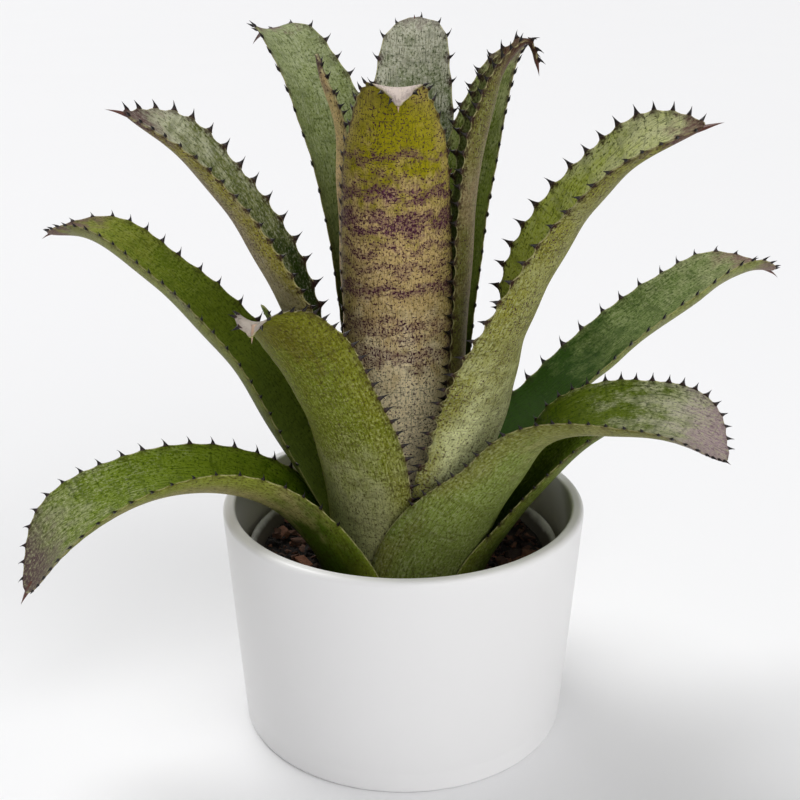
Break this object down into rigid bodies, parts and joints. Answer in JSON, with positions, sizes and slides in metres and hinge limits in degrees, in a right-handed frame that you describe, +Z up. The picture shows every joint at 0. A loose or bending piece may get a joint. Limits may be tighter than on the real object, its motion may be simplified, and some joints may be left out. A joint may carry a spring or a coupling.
{
  "type": "potted bromeliad",
  "caption": "Spiny-leaved bromeliad rosette in bark soil, in a thin nursery pot that stands inside a plain white cover pot.",
  "frame": {"origin": "centre of the cover pot's flat underside", "axes": "+Z up along the pot's axis; the side shown in the picture faces -Y, and the longest leaves reach along +X and -X"},
  "size_m": [0.3263, 0.2231, 0.2898],
  "materials": {
    "white_glaze": "satin white glaze on ceramic",
    "pale_plastic": "matt thin nursery pot plastic",
    "bark_soil": "matt dark bark soil",
    "stem": "matt short plant stem",
    "leaf_green": "satin mottled green leaf",
    "leaf_banded": "satin tan leaf with purple bands",
    "leaf_purple": "satin leaf with purple-brown mottling",
    "leaf_grey": "satin grey-green leaf",
    "leaf_silvery": "satin yellow-green leaf"
  },
  "bodies": {
    "root": {"cover_pot": "white_glaze", "grow_pot": "pale_plastic", "substrate": "bark_soil", "stem": "stem", "leaf_low_left": "leaf_green", "leaf_low_tucked": "leaf_green", "leaf_low_right": "leaf_green", "leaf_low_back": "leaf_green", "leaf_low_back_right": "leaf_green", "leaf_front_left": "leaf_silvery", "leaf_mid_right": "leaf_green", "leaf_mid_left": "leaf_green", "leaf_front_right": "leaf_green", "leaf_back_tall": "leaf_grey", "leaf_upper_left": "leaf_purple", "leaf_upper_back_right": "leaf_green", "leaf_upper_right": "leaf_green", "leaf_upper_back_left": "leaf_green", "leaf_centre_banded": "leaf_banded", "leaf_centre_narrow": "leaf_green", "leaf_small_left": "leaf_green", "leaf_heart": "leaf_green"}
  },
  "joints": []
}
